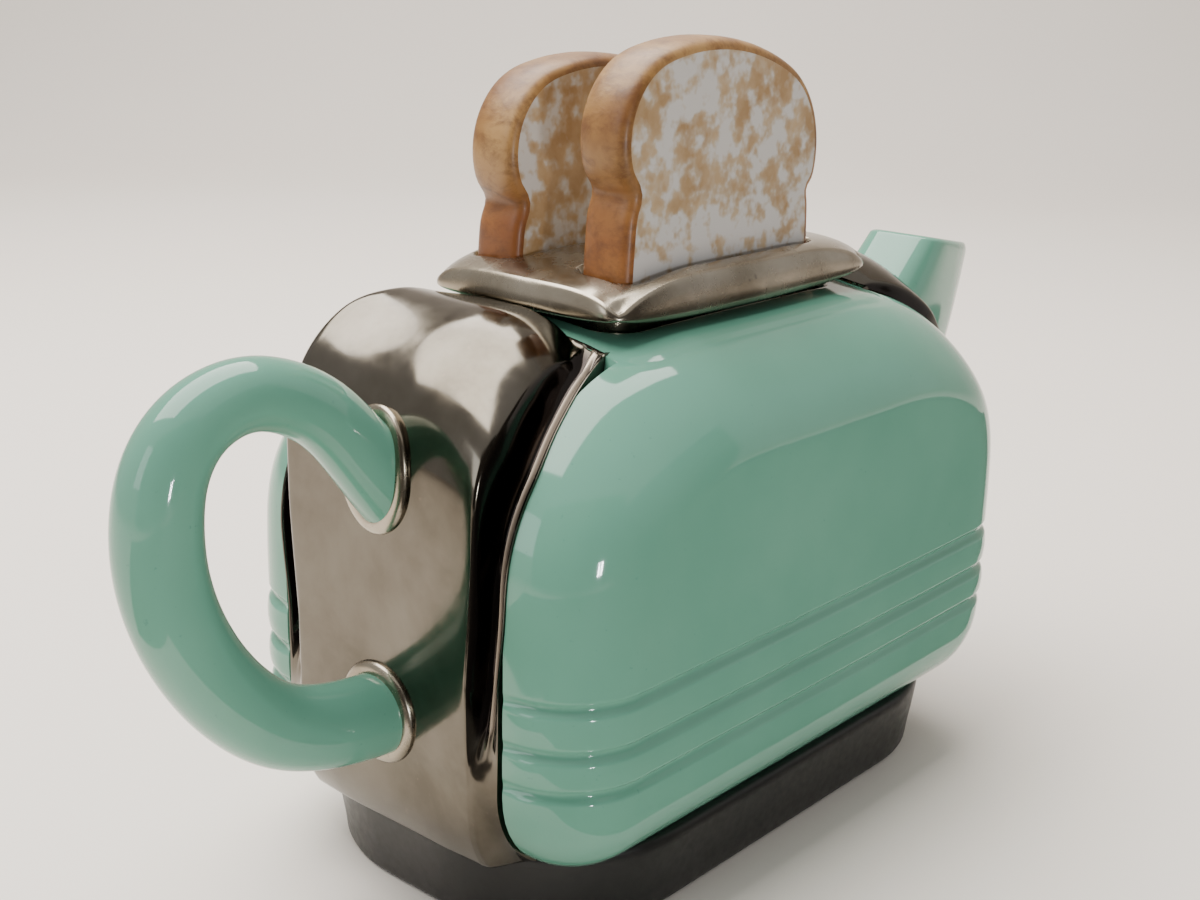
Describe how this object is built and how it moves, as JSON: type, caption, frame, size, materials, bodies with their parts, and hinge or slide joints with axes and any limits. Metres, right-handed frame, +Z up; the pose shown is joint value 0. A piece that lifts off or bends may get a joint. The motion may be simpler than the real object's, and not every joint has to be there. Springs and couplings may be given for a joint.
{
  "type": "toaster-shaped ceramic teapot",
  "caption": "Glazed ceramic novelty teapot shaped like a pop-up toaster, with chrome-lustre ends and lid, black foot, C-shaped handle, short spout and slices of toast as the lid's knob.",
  "frame": {"origin": "centre of the flat underside of the foot", "axes": "+X along the pot towards the spout, -X towards the handle, +Z up, -Y the near side"},
  "size_m": [0.2657, 0.098, 0.1673],
  "materials": {
    "mint_glaze": "glossy mint-green glaze over smooth slip-cast earthenware",
    "black_glaze": "satin black glaze",
    "chrome_lustre": "fired platinum lustre over glaze: mirror-like, warm grey, faintly mottled",
    "toast_glaze": "hand-painted under a clear glaze: orange-brown crust, mottled white and tan crumb"
  },
  "bodies": {
    "pot": {"pot_body": "mint_glaze", "base_plinth": "black_glaze", "handle_end_cap": "chrome_lustre", "spout_end_cap": "chrome_lustre", "handle": "mint_glaze", "upper_handle_collar": "chrome_lustre", "lower_handle_collar": "chrome_lustre", "spout": "mint_glaze"},
    "lid": {"lid_tray": "chrome_lustre", "near_toast_slice": "toast_glaze", "far_toast_slice": "toast_glaze"}
  },
  "joints": [
    {"name": "lid_lift", "type": "slide", "parent": "pot", "child": "lid", "axis": [0, 0, 1], "range_m": [0, 0.08]}
  ]
}
